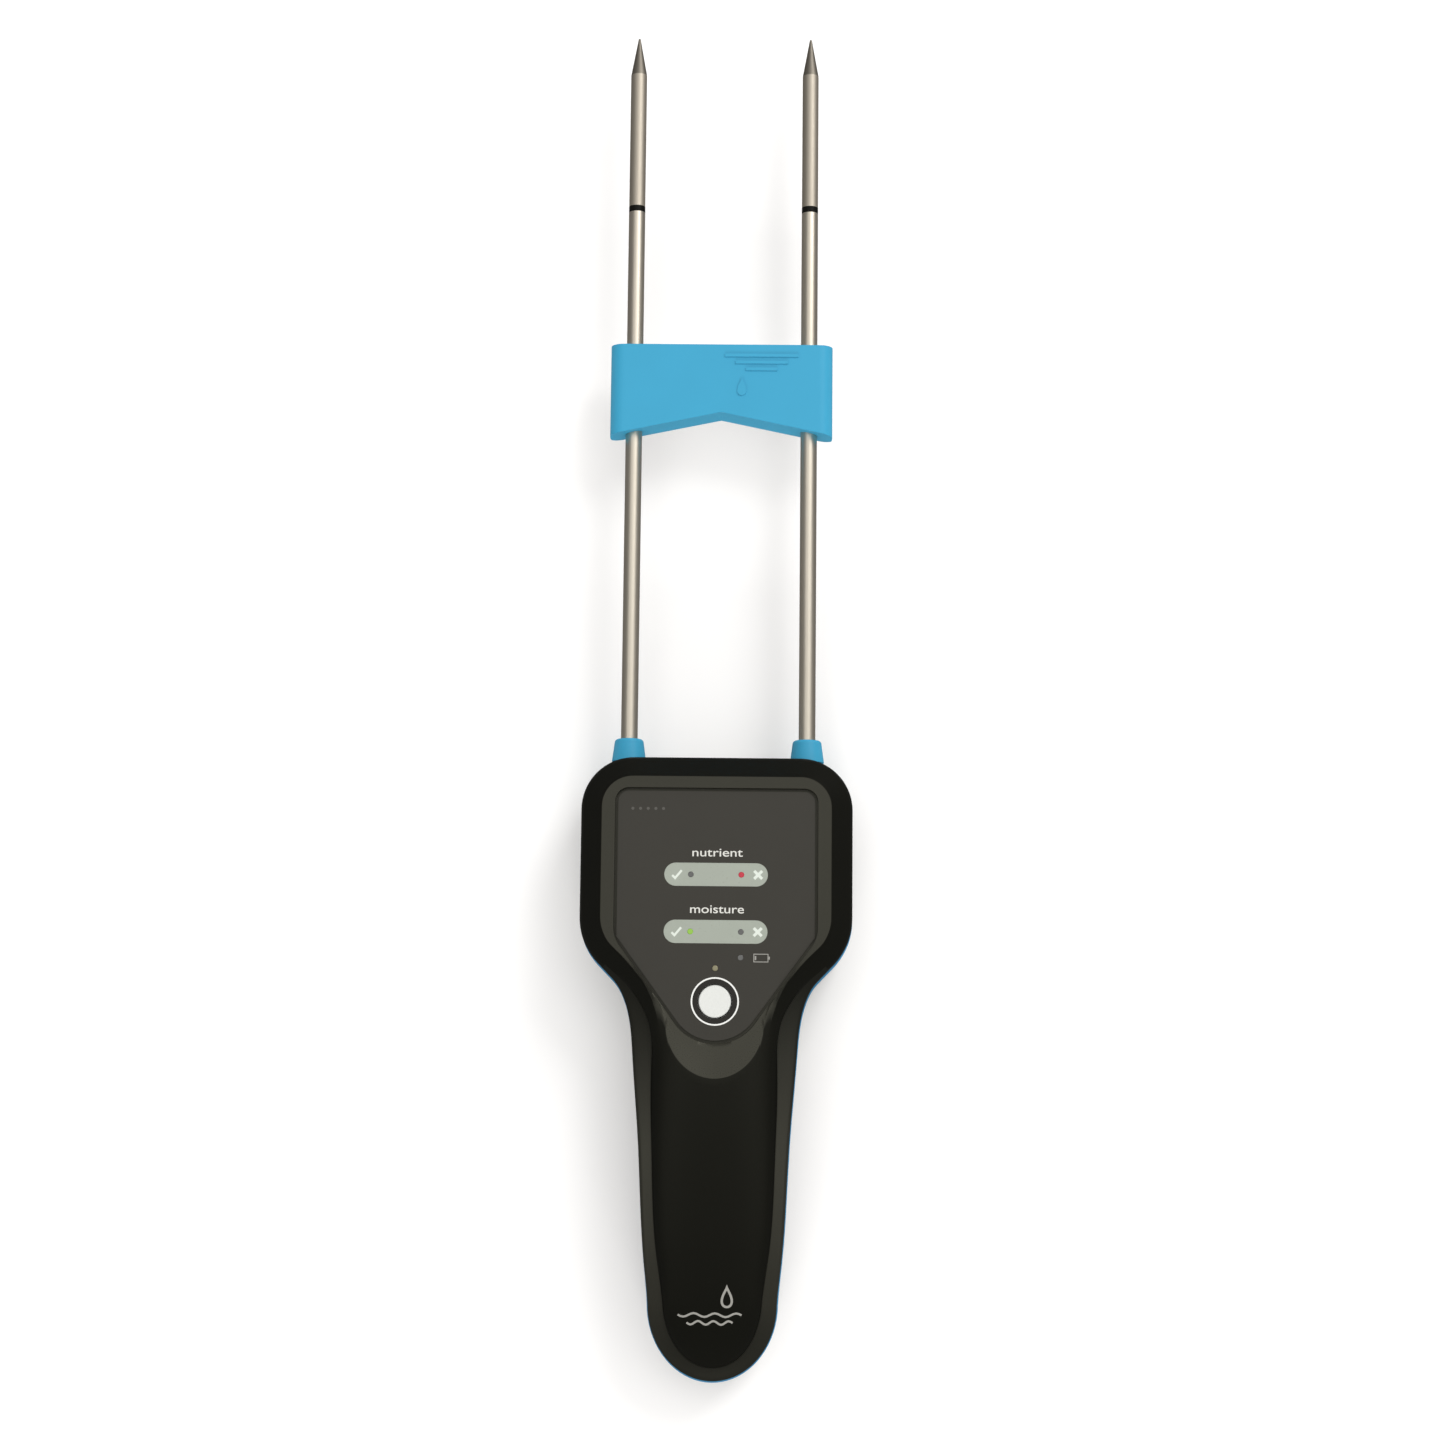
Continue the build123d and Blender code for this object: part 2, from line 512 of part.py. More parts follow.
for name, side in SIDES.items():
    axis_x = side * PROBE_PITCH / 2
    flange_end = -COLLAR_SEAT - COLLAR_FLANGE
    with BuildPart() as collar:
        with BuildSketch(Plane(origin=(axis_x, 0, AXIS_Z), x_dir=(1, 0, 0), z_dir=(0, 0, 1))) as half:
            with BuildLine():
                Polyline((0, HEAD_TOP + flange_end), (COLLAR_FLANGE_R, HEAD_TOP + flange_end),
                         (COLLAR_FLANGE_R, HEAD_TOP - COLLAR_SEAT), (COLLAR_NECK_R, HEAD_TOP - COLLAR_SEAT),
                         (COLLAR_NECK_R, HEAD_TOP), (COLLAR_BASE_R, HEAD_TOP),
                         (COLLAR_TIP_R, HEAD_TOP + COLLAR_RISE), (0, HEAD_TOP + COLLAR_RISE), close=True)
            make_face()
            fillet(half.vertices().group_by(Axis.Y)[-1].sort_by(Axis.X)[-1], 1.0)
        revolve(axis=Axis((axis_x, 0, AXIS_Z), (0, 1, 0)))
        add(along_probe(side, -40, 40, PROBE_R), mode=Mode.SUBTRACT)
        add(along_probe(side, flange_end, flange_end + 1.5, PROBE_R + 2 * RING_SECTION_R), mode=Mode.SUBTRACT)
    save(collar.part, f"{name}_collar")

    with BuildPart() as o_ring:
        with BuildSketch(Plane(origin=(axis_x, 0, AXIS_Z), x_dir=(1, 0, 0), z_dir=(0, 0, 1))):
            with Locations((PROBE_R + RING_SECTION_R, HEAD_TOP + flange_end + 0.75)):
                Circle(RING_SECTION_R)
        revolve(axis=Axis((axis_x, 0, AXIS_Z), (0, 1, 0)))
    save(o_ring.part, f"{name}_o_ring")

    with BuildPart() as shaft:
        add(along_probe(side, -SHAFT_END, INSULATOR_START, PROBE_R, TUBE_BORE_R))
    save(shaft.part, f"{name}_probe_shaft")

    insulator_end = INSULATOR_START + INSULATOR_WIDTH
    with BuildPart() as insulator:
        add(along_probe(side, INSULATOR_START, insulator_end, PROBE_R, SLEEVE_BORE_R))
        add(along_probe(side, INSULATOR_START - SLEEVE_OVERLAP, insulator_end + SLEEVE_OVERLAP,
                        TUBE_BORE_R, SLEEVE_BORE_R))
    save(insulator.part, f"{name}_insulator")

    with BuildPart() as electrode:
        with BuildSketch(Plane(origin=(axis_x, 0, AXIS_Z), x_dir=(1, 0, 0), z_dir=(0, 0, 1))):
            tip = HEAD_TOP + PROBE_REACH
            with BuildLine():
                Polyline((0, tip), (0, HEAD_TOP + insulator_end), (TIP_R, HEAD_TOP + insulator_end),
                         (TIP_R, tip - POINT_LENGTH), (POINT_R, tip), (0, tip))
            make_face()
        revolve(axis=Axis((axis_x, 0, AXIS_Z), (0, 1, 0)))
        add(along_probe(side, insulator_end, insulator_end + SLEEVE_OVERLAP, TUBE_BORE_R), mode=Mode.SUBTRACT)
        add(along_probe(side, insulator_end, insulator_end + 10, SLEEVE_BORE_R), mode=Mode.SUBTRACT)
    save(electrode.part, f"{name}_tip_electrode")

    core_x = axis_x - side * 0.65
    lead(f"{name}_core_wire",
         [(core_x, HEAD_TOP + insulator_end + 10, AXIS_Z), (core_x, station(28), AXIS_Z),
          (core_x, station(28), PCB_BOTTOM)], 0.5, 3.0)
    lead(f"{name}_shaft_lead",
         [(axis_x, station(SHAFT_END), AXIS_Z + 2.0), (axis_x, station(23), AXIS_Z + 2.0),
          (axis_x, station(23), PCB_BOTTOM)], 0.35, 2.0)

sensor_x = PROBE_PITCH / 2 + 0.75
sensor_y = HEAD_TOP + insulator_end + 9
with BuildPart() as temperature_sensor:
    with BuildLine() as sensor_path:
        FilletPolyline((sensor_x, sensor_y, AXIS_Z), (sensor_x, station(31), AXIS_Z),
                       (sensor_x, station(31), PCB_BOTTOM), radius=3.0)
    with BuildSketch(Plane(origin=sensor_path.line @ 0, z_dir=sensor_path.line % 0)):
        Circle(0.3)
    sweep()
    with Locations((sensor_x, sensor_y, AXIS_Z)):
        Sphere(0.5)
save(temperature_sensor.part, "temperature_sensor")

# ---------------------------------------------------------------- sliding guide
with BuildPart() as probe_guide:
    guide_low = HEAD_TOP + GUIDE_TOP - GUIDE_HEIGHT
    with BuildSketch(Plane(origin=(0, guide_low, AXIS_Z), x_dir=(1, 0, 0), z_dir=(0, 1, 0))):
        RectangleRounded(GUIDE_WIDTH, GUIDE_THICK, GUIDE_CORNER_R)
    extrude(amount=GUIDE_HEIGHT)
    with BuildSketch(Plane.XY):
        with BuildLine():
            notch_half = GUIDE_WIDTH / 2
            Polyline((-notch_half, guide_low), (0, guide_low + GUIDE_NOTCH), (notch_half, guide_low),
                     (notch_half, guide_low - 1), (-notch_half, guide_low - 1), close=True)
        make_face()
    extrude(amount=40, mode=Mode.SUBTRACT)
    cored = AXIS_Z - GUIDE_THICK / 2
    with BuildSketch(Plane.XY.offset(cored)):
        with BuildLine():
            core_half = 19.6
            low = guide_low + GUIDE_NOTCH + GUIDE_WALL + 0.4
            high = guide_low + GUIDE_HEIGHT - GUIDE_WALL
            drop = GUIDE_NOTCH * core_half / notch_half
            Polyline((-core_half, high), (core_half, high), (core_half, low - drop), (0, low),
                     (-core_half, low - drop), close=True)
        make_face()
        for x in (-6.6, 6.6):
            with Locations((x, (low + high) / 2)):
                Rectangle(1.2, GUIDE_HEIGHT, mode=Mode.SUBTRACT)
    extrude(amount=GUIDE_THICK - GUIDE_WALL, mode=Mode.SUBTRACT)
    for side in SIDES.values():
        add(along_probe(side, 0, PROBE_REACH, PROBE_R + GUIDE_CLEARANCE), mode=Mode.SUBTRACT)
save(probe_guide.part, "probe_guide")

# ---------------------------------------------------------------- batteries and contacts
for name, side in SIDES.items():
    nub_up = side < 0
    with BuildPart() as cell:
        cell_low = (side * CELL_X, station(CELL_START + CELL_LENGTH), CELL_Z)
        with BuildSketch(Plane(origin=cell_low, z_dir=(0, 1, 0))):
            Circle(CELL_R)
        extrude(amount=CELL_LENGTH)
        chamfer(cell.edges().filter_by(GeomType.CIRCLE), 0.4)
        nub_depth = CELL_START if nub_up else CELL_START + CELL_LENGTH
        nub_foot = (side * CELL_X, station(nub_depth), CELL_Z)
        with BuildSketch(Plane(origin=nub_foot, z_dir=(0, 1 if nub_up else -1, 0))):
            Circle(1.9)
        extrude(amount=CELL_NUB)
    save(cell.part, f"{name}_battery_cell")


def contact(name, plate_half, plate_x, wall_depth, fingers, tab=False, way=1):
    """Sheet contact on an end wall of the well: a flat plate, springy fingers to the cells, a solder tab."""
    face = wall_depth + way * CONTACT_THICK
    with BuildPart() as sheet:
        with BuildSketch(Plane.XY.offset(CELL_Z - CONTACT_HEIGHT / 2)):
            with Locations(at(plate_x, (wall_depth + face) / 2)):
                Rectangle(2 * plate_half, CONTACT_THICK)
            for x, reach in fingers:
                tip_depth = reach - way * CONTACT_THICK
                over = [(x - 2.6, face), (x - 1.1, reach), (x + 1.1, reach), (x + 2.6, face)]
                beneath = [(x + 2.1, face), (x + 0.8, tip_depth), (x - 0.8, tip_depth), (x - 2.1, face)]
                with BuildLine():
                    Polyline(*spots(over + beneath), close=True)
                make_face()
        extrude(amount=CONTACT_HEIGHT)
        if tab:
            with BuildSketch(Plane.XY.offset(CELL_Z)):
                with Locations(at(plate_x, (wall_depth + face) / 2)):
                    Rectangle(3.0, CONTACT_THICK)
            extrude(amount=WELL_ROOF + WELL_WALL + 2.2 - CELL_Z)
    save(sheet.part, name)


far_end = CELL_START + CELL_LENGTH
contact("positive_contact", 4.2, -CELL_X, WELL_TOP, [(-CELL_X, CELL_START - CELL_NUB)], tab=True)
contact("negative_contact", 4.2, CELL_X, WELL_TOP, [(CELL_X, CELL_START)], tab=True)
contact("bridge_contact", 10.0, 0, WELL_END, [(-CELL_X, far_end), (CELL_X, far_end + CELL_NUB)], way=-1)

for name, x in (("battery_lead_red", -CELL_X), ("battery_lead_black", CELL_X)):
    tab_z = WELL_ROOF + WELL_WALL + 1.4
    route = [(x, station(WELL_TOP), tab_z), (x, station(82), tab_z), (x, station(82), PCB_BOTTOM)]
    lead(name, route, 0.6, 3.5)
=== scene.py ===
import json
from math import cos, pi, radians, sin, tan

import bmesh
import bpy
import numpy as np
from mathutils import Matrix, Vector

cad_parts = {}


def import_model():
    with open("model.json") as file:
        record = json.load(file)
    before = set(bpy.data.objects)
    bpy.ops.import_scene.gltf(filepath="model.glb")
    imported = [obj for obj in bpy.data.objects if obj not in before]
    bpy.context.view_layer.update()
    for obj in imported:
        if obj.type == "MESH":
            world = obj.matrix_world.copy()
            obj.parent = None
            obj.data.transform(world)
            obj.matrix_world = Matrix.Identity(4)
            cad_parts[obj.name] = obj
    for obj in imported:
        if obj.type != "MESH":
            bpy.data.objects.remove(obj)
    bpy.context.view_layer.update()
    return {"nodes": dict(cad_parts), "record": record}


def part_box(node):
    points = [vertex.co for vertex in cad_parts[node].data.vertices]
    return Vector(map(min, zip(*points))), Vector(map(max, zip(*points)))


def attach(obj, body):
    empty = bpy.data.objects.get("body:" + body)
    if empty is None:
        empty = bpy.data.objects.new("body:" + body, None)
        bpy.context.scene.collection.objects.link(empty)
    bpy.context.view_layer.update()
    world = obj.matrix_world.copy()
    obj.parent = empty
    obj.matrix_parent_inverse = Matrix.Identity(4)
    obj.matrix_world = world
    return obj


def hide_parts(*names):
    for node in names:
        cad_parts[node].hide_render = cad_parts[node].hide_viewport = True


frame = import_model()
nodes = frame["nodes"]

# Lengths are in mm, and MM turns them into Blender's metres. Lights, floor and material sizes are in metres.
MM = 0.001
FRONT_LOW, FRONT_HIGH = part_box("front_housing")
HEAD_TOP = FRONT_HIGH.y / MM  # depths below are measured from here towards the handle's end
END = HEAD_TOP - FRONT_LOW.y / MM  # depth of the handle's end
HEAD_HALF = FRONT_HIGH.x / MM
AXIS_Z = FRONT_LOW.z / MM  # the line where the two housings part
FACE_Z = 32.0  # the flat rim around the overlay
OVERLAY_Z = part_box("face_overlay")[1].z / MM
LEDGE_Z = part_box("face_overlay")[0].z / MM - 0.02  # the pocket's floor, just under the overlay


# ---------------------------------------------------------------- camera
def camera():
    """Camera above the handle, looking down on the face and slightly towards the probe tips."""
    tilt, pan, roll, view_angle = radians(8.04), radians(0.615), radians(0.59), radians(30.183)
    target, distance = Vector((-0.094, -8.71, 15.0)), 750.0
    back = Vector((sin(pan) * cos(tilt), -sin(tilt), cos(pan) * cos(tilt)))
    right = (-back).cross(Vector((0, 1, 0))).normalized()
    up = right.cross(-back)
    side = right * cos(roll) + up * sin(roll)
    top = up * cos(roll) - right * sin(roll)
    data = bpy.data.cameras.new("camera")
    data.sensor_width = data.sensor_height = 36.0
    data.angle = view_angle
    data.clip_start, data.clip_end = 0.01, 20.0
    rig = bpy.data.objects.new("camera", data)
    turn = Matrix((side, top, back)).transposed().to_4x4()
    rig.matrix_world = Matrix.Translation((target + back * distance) * MM) @ turn
    bpy.context.scene.collection.objects.link(rig)
    bpy.context.scene.camera = rig


camera()


# ---------------------------------------------------------------- materials
def connect(tree, node, inputs):
    """Join each socket given to the node's input of that name, and set the inputs given as values."""
    for key, value in inputs.items():
        if isinstance(value, bpy.types.NodeSocket):
            tree.links.new(value, node.inputs[key])
        else:
            node.inputs[key].default_value = value


def add(tree, kind, inputs=None, **settings):
    """New node with its own settings first, because they decide which inputs it has."""
    node = tree.nodes.new(kind)
    for key, value in settings.items():
        setattr(node, key, value)
    connect(tree, node, inputs or {})
    return node


def feeding(shader, key):
    """The socket that feeds the shader's input now."""
    return shader.inputs[key].links[0].from_socket


BLOTCH_SCALE, ROUGH_SPREAD, GRAIN_DEPTH, SCATTER = 90.0, 0.08, 0.0001, (0.001, 0.001, 0.001)


def material(name, color, rough, metal=0.0, specular=0.5, tint=(1, 1, 1), grain=3000.0, grain_bump=0.05,
             blotch=0.06, stretch=(1, 1, 1), subsurface=0.0, glow=(1, 1, 1), glow_strength=0.0):
    """Principled surface with fine grain in its bump and roughness, and slow variation in its colour."""
    mat = bpy.data.materials.new(name)
    mat.use_nodes = True
    tree = mat.node_tree
    coords = add(tree, "ShaderNodeTexCoord").outputs["Object"]
    place = add(tree, "ShaderNodeMapping", {"Vector": coords, "Scale": stretch}).outputs["Vector"]
    fine = add(tree, "ShaderNodeTexNoise", {"Vector": place, "Scale": grain, "Detail": 3.0}).outputs["Fac"]
    slow = add(tree, "ShaderNodeTexNoise", {"Vector": place, "Scale": BLOTCH_SCALE, "Detail": 4.0}).outputs["Fac"]
    darker, lighter = ((*(c * share for c in color), 1) for share in (1 - blotch, 1 + blotch))
    tone = add(tree, "ShaderNodeMix", {"Factor": slow, "A": darker, "B": lighter}, data_type="RGBA")
    spread = add(tree, "ShaderNodeMapRange", {"Value": fine, "To Min": max(0.02, rough - ROUGH_SPREAD),
                                              "To Max": min(1.0, rough + ROUGH_SPREAD)})
    bump = add(tree, "ShaderNodeBump", {"Height": fine, "Strength": grain_bump, "Distance": GRAIN_DEPTH})
    connect(tree, tree.nodes["Principled BSDF"], {
        "Base Color": tone.outputs["Result"],
        "Roughness": spread.outputs["Result"],
        "Normal": bump.outputs["Normal"],
        "Metallic": metal,
        "Specular IOR Level": specular,
        "Specular Tint": (*tint, 1),
        "Subsurface Weight": subsurface,
        "Subsurface Radius": SCATTER,
        "Emission Color": (*glow, 1),
        "Emission Strength": glow_strength,
    })
    return mat


SHELL = (0.0215, 0.0205, 0.0155)
GRIP = (0.0042, 0.0042, 0.0030)
WARM = (1.0, 0.98, 0.80)
GRIP_ROUGHER = 0.35  # what the soft-touch skin adds to the shell's roughness


def shell_material():
    """Satin shell, darker and rougher by the mesh's grip attribute, up to the soft-touch skin's colour at 1."""
    mat = material("housing_black", SHELL, 0.29, specular=0.42, tint=WARM, grain=2600.0, grain_bump=0.07,
                   blotch=0.05)
    tree = mat.node_tree
    shader = tree.nodes["Principled BSDF"]
    grip = add(tree, "ShaderNodeAttribute", attribute_name="grip").outputs["Fac"]
    color = add(tree, "ShaderNodeMix", {"Factor": grip, "A": feeding(shader, "Base Color"), "B": (*GRIP, 1)},
                data_type="RGBA")
    rough = add(tree, "ShaderNodeMath", {0: grip, 1: GRIP_ROUGHER, 2: feeding(shader, "Roughness")},
                operation="MULTIPLY_ADD")
    connect(tree, shader, {"Base Color": color.outputs["Result"], "Roughness": rough.outputs["Value"]})
    return mat


def paint_shade_beyond(mat, start, share):
    """Painted shade on the tips' cones: past start (metres along Y) the base colour drops to a share of itself.
    """
    tree = mat.node_tree
    shader = tree.nodes["Principled BSDF"]
    coords = add(tree, "ShaderNodeTexCoord").outputs["Object"]
    place = add(tree, "ShaderNodeSeparateXYZ", {0: coords}).outputs["Y"]
    beyond = add(tree, "ShaderNodeMapRange", {"Value": place, "From Min": start - 0.0001,
                                              "From Max": start + 0.0001, "To Min": 1.0, "To Max": share})
    dim = add(tree, "ShaderNodeMix", {"Factor": 1.0, "A": feeding(shader, "Base Color"),
                                      "B": beyond.outputs["Result"]}, data_type="RGBA", blend_type="MULTIPLY")
    connect(tree, shader, {"Base Color": dim.outputs["Result"]})


PRINT = {"rough": 0.5, "specular": 0.3, "blotch": 0.04}
LOOKS = {
    "soft_touch": dict(color=GRIP, rough=0.43, specular=0.155, tint=WARM, grain=2600.0, grain_bump=0.12),
    "housing_blue": dict(color=(0.055, 0.30, 0.55), rough=0.42, grain_bump=0.08, blotch=0.04),
    "overlay_grey": dict(color=(0.0310, 0.0288, 0.0238), rough=0.38, specular=0.30, tint=(1, 0.97, 0.88),
                         grain=5000.0, grain_bump=0.06, blotch=0.05),
    "window_smoke": dict(color=(0.335, 0.362, 0.306), rough=0.30, grain=1500.0, grain_bump=0.02, blotch=0.03,
                         subsurface=0.3),
    "led_red": dict(color=(0.42, 0.02, 0.04), rough=0.18, glow=(0.6, 0.02, 0.04), glow_strength=0.08),
    "led_green": dict(color=(0.22, 0.42, 0.05), rough=0.18, glow=(0.35, 0.6, 0.05), glow_strength=0.08),
    "led_clear": dict(color=(0.10, 0.10, 0.095), rough=0.2),
    "led_amber": dict(color=(0.21, 0.19, 0.11), rough=0.2),
    "button_white": dict(color=(0.68, 0.685, 0.65), rough=0.35, blotch=0.02, subsurface=0.15),
    "plastic_natural": dict(color=(0.52, 0.50, 0.44), rough=0.5),
    "plastic_black": dict(color=(0.004, 0.004, 0.003), rough=0.5, specular=0.12),
    "trim_blue": dict(color=(0.0355, 0.322, 0.515), rough=0.48, specular=0.3, grain_bump=0.06, blotch=0.03),
    "seal_rubber": dict(color=(0.01, 0.01, 0.01), rough=0.7),
    "probe_steel": dict(color=(0.67, 0.61, 0.51), rough=0.42, metal=1.0, grain=9000.0, grain_bump=0.08,
                        blotch=0.08, stretch=(1, 0.02, 1)),
    "tip_steel": dict(color=(0.56, 0.505, 0.42), rough=0.56, metal=1.0, grain=7000.0, grain_bump=0.10,
                      blotch=0.10, stretch=(1, 0.05, 1)),
    "screw_steel": dict(color=(0.45, 0.45, 0.45), rough=0.3, metal=1.0),
    "contact_nickel": dict(color=(0.6, 0.58, 0.54), rough=0.25, metal=1.0),
    "insert_brass": dict(color=(0.6, 0.45, 0.2), rough=0.3, metal=1.0),
    "wire_copper": dict(color=(0.55, 0.26, 0.13), rough=0.35, metal=1.0),
    "board_green": dict(color=(0.02, 0.14, 0.06), rough=0.35),
    "cell_wrap": dict(color=(0.15, 0.15, 0.16), rough=0.3),
    "wire_red": dict(color=(0.45, 0.02, 0.02), rough=0.45),
    "wire_black": dict(color=(0.02, 0.02, 0.02), rough=0.45),
    "print_white": dict(color=(0.80, 0.80, 0.76), rough=0.5, blotch=0.02),
    "print_grey": dict(color=(0.30, 0.29, 0.26), rough=0.5, blotch=0.04),
    "print_legend": dict(PRINT, color=(0.66, 0.65, 0.60)),
    "print_pale": dict(PRINT, color=(0.66, 0.70, 0.63)),
    "print_dim": dict(PRINT, color=(0.085, 0.080, 0.070)),
    # dark ring of painted shade for the gap around the button's cap
    "painted_gap_shade": dict(PRINT, color=(0.014, 0.012, 0.009), rough=0.45),
}
M = {name: material(name, **look) for name, look in LOOKS.items()}
M["housing_black"] = shell_material()

CONE_LENGTH, CONE_SHADE = 11.2, 0.52  # the tips' ground cones, and the painted shade that darkens them beside the rod
paint_shade_beyond(M["tip_steel"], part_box("left_tip_electrode")[1].y - CONE_LENGTH * MM, CONE_SHADE)


def wear(obj, mat):
    obj.data.materials.clear()
    obj.data.materials.append(mat)


for subpart in frame["record"]["subparts"]:
    wear(nodes[subpart["node"]], M[subpart["material_slot"]])
for side in ("left", "right"):
    wear(nodes[f"{side}_tip_electrode"], M["tip_steel"])


# ---------------------------------------------------------------- curves in the plan, as (x, depth)
def line(a, b, count):
    """Points from a up to, and not including, b."""
    t = np.arange(count)[:, None] / count
    return np.array(a) * (1 - t) + np.array(b) * t


def arc(centre, radii, start, end, count):
    """Points on an ellipse's arc by angle in degrees, 0 to the right and 90 towards the head's top."""
    t = np.radians(start + (end - start) * np.arange(count) / count)
    return np.stack([centre[0] + radii[0] * np.cos(t), centre[1] - radii[1] * np.sin(t)], 1)


def hermite(s, h, low, high, low_slope, high_slope):
    """Cubic from low to high over a step h, at share s of the step."""
    return ((1 + 2 * s) * (1 - s) ** 2 * low + s * (1 - s) ** 2 * h * low_slope
            + s * s * (3 - 2 * s) * high + s * s * (s - 1) * h * high_slope)


def clamped(knots, start, end, count):
    """Cubic spline through the knots with unit end directions, evenly stepped, without its last point."""
    p = np.array(knots, float)
    h = np.linalg.norm(np.diff(p, axis=0), axis=1)
    at = np.concatenate([[0], np.cumsum(h)])
    n = len(p)
    a, b = np.eye(n), np.zeros((n, 2))
    b[0], b[-1] = start, end
    for i in range(1, n - 1):
        a[i, i - 1:i + 2] = h[i], 2 * (h[i - 1] + h[i]), h[i - 1]
        b[i] = 3 * (h[i] * (p[i] - p[i - 1]) / h[i - 1] + h[i - 1] * (p[i + 1] - p[i]) / h[i])
    slope = np.linalg.solve(a, b)
    u = at[-1] * np.arange(count) / count
    k = np.clip(np.searchsorted(at, u, side="right") - 1, 0, n - 2)
    s = ((u - at[k]) / h[k])[:, None]
    return hermite(s, h[k][:, None], p[k], p[k + 1], slope[k], slope[k + 1])


def stretched(points, count):
    """The same line with evenly spaced points, without its last one."""
    step = np.linalg.norm(np.diff(points, axis=0), axis=1)
    at = np.concatenate([[0], np.cumsum(step)])
    u = at[-1] * np.arange(count) / count
    return np.stack([np.interp(u, at, points[:, k]) for k in (0, 1)], 1)


# Points on each stretch of an outline. Every outline has the same number, so that rows of them join up.
COUNTS = {"top": 18, "corner": 18, "side": 22, "hip": 14, "slope": 12, "grip": 84, "end": 34}
TAIL = COUNTS["grip"] + COUNTS["end"]

# The housing: head corners, hips that turn in to the neck, the handle's side and its round end.
CORNER_R, HIP_R, HIP_DEPTH, HIP_TURN, NECK_LENGTH = 14.5, 18.0, 44.4, 44.0, 6.0
HANDLE_SIDE = [(24.9, 66.9), (22.4, 82.3), (20.6, 104.8), (18.6, 138.0)]
END_HALF, END_START = 17.55, 149.0

# The overlay's pocket: a rounded top, lower sides on a slope, and a round tip.
POCKET_HALF, POCKET_TOP, POCKET_CORNER_R, POCKET_HIP_R, POCKET_SLOPE = 27.0, 10.0, 3.0, 8.0, 36.3
TIP_R, TIP_DEPTH, SPLIT_DEPTH = 12.7, 65.3, 66.5  # the pocket and the thumb scoop part at the split depth

# The thumb scoop: its shoulder, its half width from where it runs round, and its end.
SCOOP_SHOULDER, SCOOP_HALF, SCOOP_DEPTH, SCOOP_END = (14.9, 68.6), 13.3, 73.2, 88.2


def silhouette():
    """Right half of the housing's outline, from the head's top to the handle's end."""
    hip = radians(HIP_TURN)
    hip_end = (HEAD_HALF - HIP_R + HIP_R * cos(hip), HIP_DEPTH + HIP_R * sin(hip))
    neck = (hip_end[0] - NECK_LENGTH * sin(hip), hip_end[1] + NECK_LENGTH * cos(hip))
    side = [neck, *HANDLE_SIDE, (END_HALF, END_START)]
    return np.concatenate([
        line((0, 0), (HEAD_HALF - CORNER_R, 0), COUNTS["top"]),
        arc((HEAD_HALF - CORNER_R, CORNER_R), (CORNER_R, CORNER_R), 90, 0, COUNTS["corner"]),
        line((HEAD_HALF, CORNER_R), (HEAD_HALF, HIP_DEPTH), COUNTS["side"]),
        arc((HEAD_HALF - HIP_R, HIP_DEPTH), (HIP_R, HIP_R), 0, -HIP_TURN, COUNTS["hip"]),
        line(hip_end, neck, COUNTS["slope"]),
        clamped(side, (-sin(hip), cos(hip)), (-0.05, 1), COUNTS["grip"]),
        arc((0, END_START), (END_HALF, END - END_START), 0, -90, COUNTS["end"]),
        [(0, END)],
    ])


def pocket(grow):
    """Right half of the overlay's pocket, grown all round."""
    slope = radians(POCKET_SLOPE)
    tip_r, half, top = TIP_R + grow, POCKET_HALF + grow, POCKET_TOP - grow
    corner_r, hip_r = POCKET_CORNER_R + grow, POCKET_HIP_R + grow
    tip = (tip_r * cos(slope), TIP_DEPTH + tip_r * sin(slope))
    corner = tip[1] - (half - tip[0]) / tan(slope)
    reach = hip_r * tan(slope / 2)
    hip_end = (half - reach * sin(slope), corner + reach * cos(slope))
    split = (half - (SPLIT_DEPTH - corner) * tan(slope), SPLIT_DEPTH)
    low_end = [(0, TIP_DEPTH + tip_r)]
    tail = [line(split, tip, 40), arc((0, TIP_DEPTH), (tip_r, tip_r), -POCKET_SLOPE, -90, 60), low_end]
    return np.concatenate([
        line((0, top), (half - corner_r, top), COUNTS["top"]),
        arc((half - corner_r, top + corner_r), (corner_r, corner_r), 90, 0, COUNTS["corner"]),
        line((half, top + corner_r), (half, corner - reach), COUNTS["side"]),
        arc((half - hip_r, corner - reach), (hip_r, hip_r), 0, -POCKET_SLOPE, COUNTS["hip"]),
        line(hip_end, split, COUNTS["slope"]),
        stretched(np.concatenate(tail), TAIL),
        low_end,
    ])


def scoop_edge(grow):
    """The pocket's outline over the head, and below it the U-shaped edge of the thumb scoop."""
    edge = pocket(grow)
    tail = [line(edge[-TAIL - 1], SCOOP_SHOULDER, 10), line(SCOOP_SHOULDER, (SCOOP_HALF, SCOOP_DEPTH), 12),
            arc((0, SCOOP_DEPTH), (SCOOP_HALF, SCOOP_END - SCOOP_DEPTH), 0, -90, 60), [(0, SCOOP_END)]]
    edge[-TAIL - 1:-1] = stretched(np.concatenate(tail), TAIL)
    edge[-1] = (0, SCOOP_END)
    return edge


def inset(curve, amount):
    """The right half of a closed outline moved inwards along its normals."""
    before = np.concatenate([[curve[1] * (-1, 1)], curve[:-1]])
    after = np.concatenate([curve[1:], [curve[-2] * (-1, 1)]])
    way = after - before
    way /= np.linalg.norm(way, axis=1)[:, None]
    moved = curve + np.stack([-way[:, 1], way[:, 0]], 1) * np.broadcast_to(amount, len(curve))[:, None]
    moved[[0, -1], 0] = 0
    return moved


